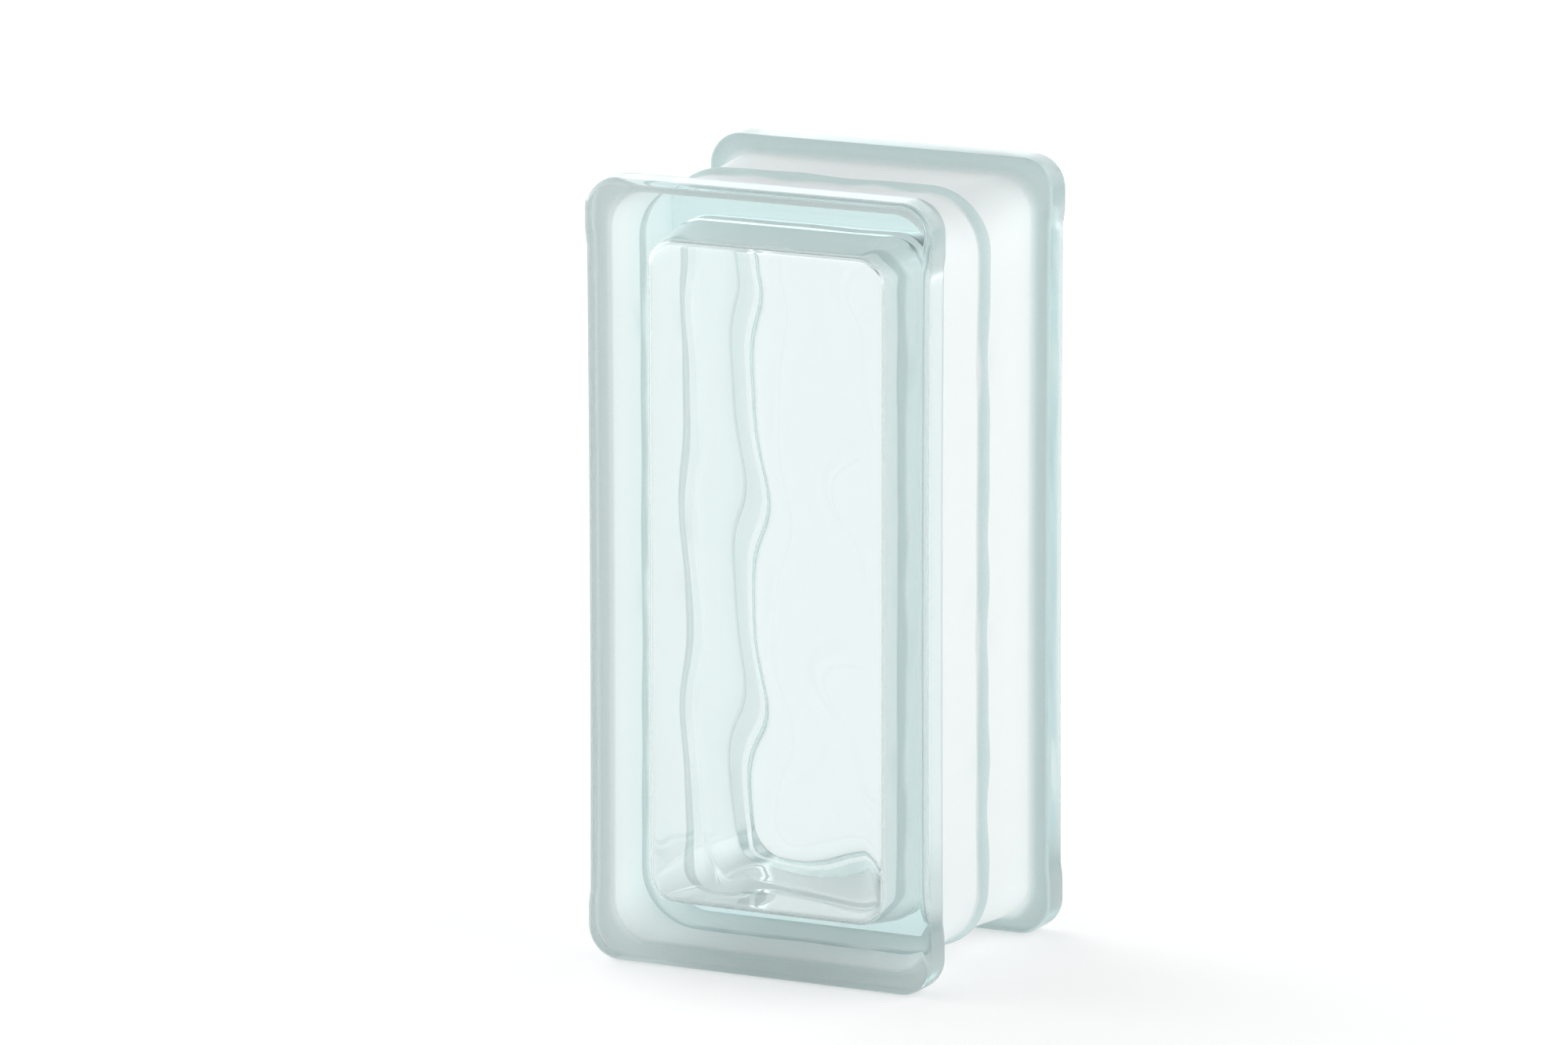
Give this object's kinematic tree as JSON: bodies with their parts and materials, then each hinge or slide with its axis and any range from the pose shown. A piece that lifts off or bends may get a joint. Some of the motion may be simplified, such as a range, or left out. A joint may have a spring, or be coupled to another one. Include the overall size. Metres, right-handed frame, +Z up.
{
  "type": "glass block",
  "caption": "Hollow half-size glass building block with two square-edged panes, a mortar groove on every edge, a welded seam bead and a sealed cavity with waved inner faces.",
  "frame": {"origin": "centre of the lower bearing plane, under the middle of the block, which stands on one short edge", "axes": "+Z up the block's height, X across the width of the panes, Y through the thickness with the front pane at -Y"},
  "size_m": [0.0944, 0.078, 0.197],
  "materials": {
    "glass": "clear pressed glass with a faint aqua tint, fire-polished faces and slightly frosted groove"
  },
  "bodies": {
    "root": {"glass_block": "glass"}
  },
  "joints": []
}
